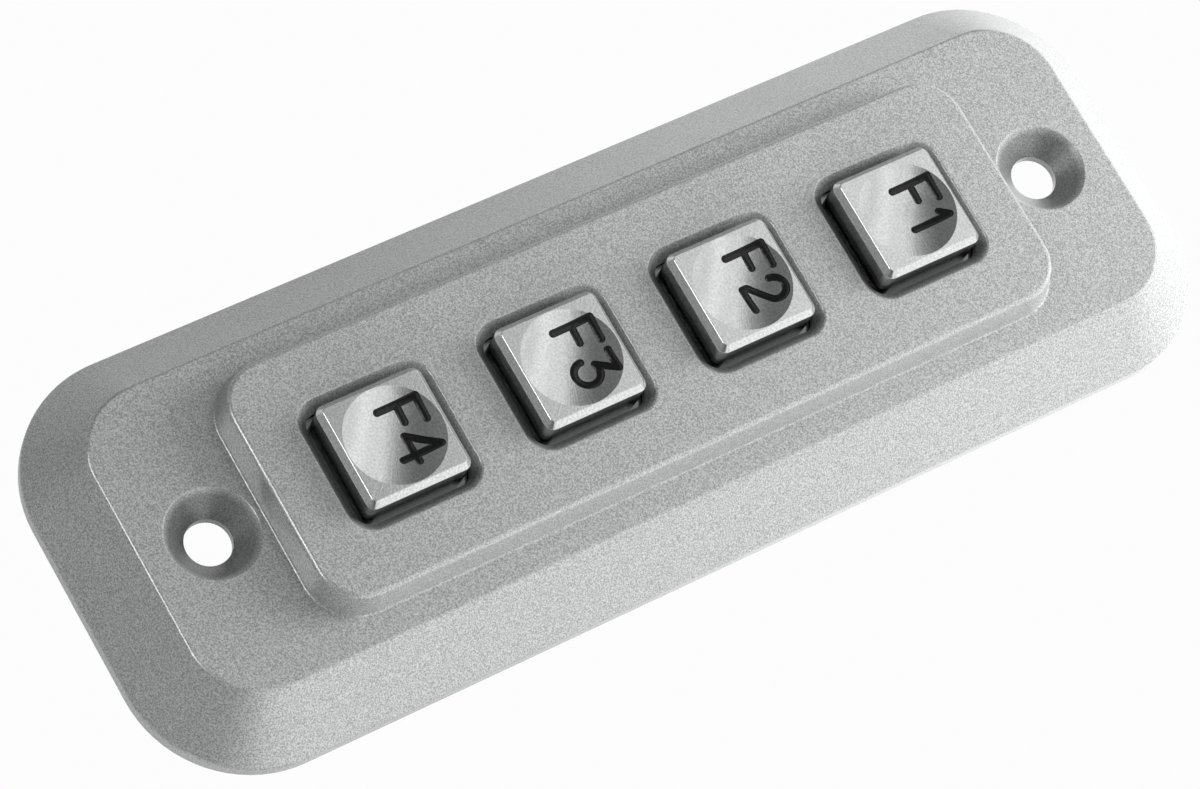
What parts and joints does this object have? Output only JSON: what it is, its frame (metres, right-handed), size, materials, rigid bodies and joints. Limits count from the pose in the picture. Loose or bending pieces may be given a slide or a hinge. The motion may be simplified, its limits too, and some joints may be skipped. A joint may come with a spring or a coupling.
{
  "type": "panel-mount function keypad",
  "caption": "Slim die-cast panel keypad with a raised island, a row of dished chromed push keys with engraved function legends, and a countersunk mounting hole at each end.",
  "frame": {"origin": "middle of the rear mounting face, in the plane that bears on the panel", "axes": "+Z out of the keys, +Y along the row towards key F1, +X the reading direction of the legends"},
  "size_m": [0.0424, 0.118, 0.0127],
  "materials": {
    "bezel_paint": "fine-grained silver-grey metallic paint on a zinc die casting",
    "gasket_rubber": "matt black moulded rubber",
    "silicone": "satin grey silicone rubber",
    "board": "green solder mask over glass epoxy",
    "gold": "gold-plated copper",
    "screw_steel": "zinc-plated steel",
    "connector_body": "natural moulded nylon",
    "connector_slider": "dark moulded nylon",
    "chrome": "satin chrome plate, finely scratched",
    "legend_black": "glossy black paint infill",
    "carbon": "matt conductive carbon silicone"
  },
  "bodies": {
    "panel": {"bezel": "bezel_paint", "rear_gasket": "gasket_rubber", "keymat_sheet": "silicone", "circuit_board": "board", "contact_pads": "gold", "board_screws": "screw_steel", "ffc_housing": "connector_body", "ffc_contacts": "gold", "dome_f1": "silicone", "dome_f2": "silicone", "dome_f3": "silicone", "dome_f4": "silicone"},
    "key_f1": {"key_cap_f1": "chrome", "legend_f1": "legend_black", "plunger_f1": "silicone", "carbon_pill_f1": "carbon"},
    "key_f2": {"key_cap_f2": "chrome", "legend_f2": "legend_black", "plunger_f2": "silicone", "carbon_pill_f2": "carbon"},
    "key_f3": {"key_cap_f3": "chrome", "legend_f3": "legend_black", "plunger_f3": "silicone", "carbon_pill_f3": "carbon"},
    "key_f4": {"key_cap_f4": "chrome", "legend_f4": "legend_black", "plunger_f4": "silicone", "carbon_pill_f4": "carbon"},
    "ffc_lock": {"ffc_slider": "connector_slider"}
  },
  "joints": [
    {"name": "key_f1_press", "type": "slide", "parent": "panel", "child": "key_f1", "axis": [0, 0, -1], "range_m": [0, 0.0012], "stiffness_N_per_m": 1200, "springref_m": -0.0008, "deforming": ["dome_f1"]},
    {"name": "key_f2_press", "type": "slide", "parent": "panel", "child": "key_f2", "axis": [0, 0, -1], "range_m": [0, 0.0012], "stiffness_N_per_m": 1200, "springref_m": -0.0008, "deforming": ["dome_f2"]},
    {"name": "key_f3_press", "type": "slide", "parent": "panel", "child": "key_f3", "axis": [0, 0, -1], "range_m": [0, 0.0012], "stiffness_N_per_m": 1200, "springref_m": -0.0008, "deforming": ["dome_f3"]},
    {"name": "key_f4_press", "type": "slide", "parent": "panel", "child": "key_f4", "axis": [0, 0, -1], "range_m": [0, 0.0012], "stiffness_N_per_m": 1200, "springref_m": -0.0008, "deforming": ["dome_f4"]},
    {"name": "ffc_lock_slide", "type": "slide", "parent": "panel", "child": "ffc_lock", "axis": [0, -1, 0], "range_m": [0, 0.0008]}
  ]
}
